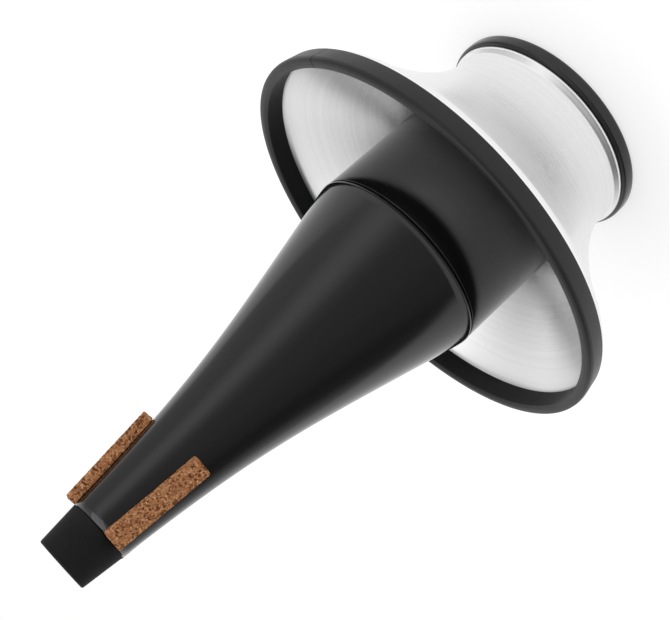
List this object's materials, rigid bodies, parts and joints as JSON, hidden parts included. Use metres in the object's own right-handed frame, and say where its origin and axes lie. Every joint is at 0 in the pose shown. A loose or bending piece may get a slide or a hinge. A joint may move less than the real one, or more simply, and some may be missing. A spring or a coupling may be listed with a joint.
{
  "type": "bass trombone cup mute",
  "caption": "Cup mute for a bass trombone: a black straight mute with cork strips and a nose sleeve, carrying a sliding, turning aluminium cup with a rubber edging.",
  "frame": {"origin": "on the mute's axis at the underside of the base ring", "axes": "+Z along the mute's axis from the base ring to the small end"},
  "size_m": [0.21, 0.21, 0.3082],
  "materials": {
    "gloss_black": "spun aluminium under glossy black lacquer",
    "ring_black": "glossy black",
    "nose_black": "matt black, very fine grain",
    "joint_black": "matt, out of sight",
    "edging_rubber": "satin dark rubber with a slight sheen",
    "grip_foam": "soft closed-cell foam, out of sight",
    "cork": "pressed cork granules, matt",
    "satin_aluminium": "satin spun aluminium"
  },
  "bodies": {
    "mute_body": {"base_ring": "ring_black", "base_plate": "gloss_black", "body_tube": "gloss_black", "joint_sleeve": "joint_black", "cone": "gloss_black", "nose_sleeve": "nose_black", "cork_pad_1": "cork", "cork_pad_2": "cork", "cork_pad_3": "cork"},
    "grip": {"grip_sleeve": "grip_foam"},
    "cup": {"cup_shell": "satin_aluminium", "rim_edging": "edging_rubber"}
  },
  "joints": [
    {"name": "cup_slide", "type": "slide", "parent": "mute_body", "child": "grip", "axis": [0, 0, 1], "range_m": [0, 0.0835]},
    {"name": "cup_turn", "type": "hinge", "parent": "grip", "child": "cup", "pos_m": [0, 0, 0.0171], "axis": [0, 0, 1], "continuous": true}
  ]
}
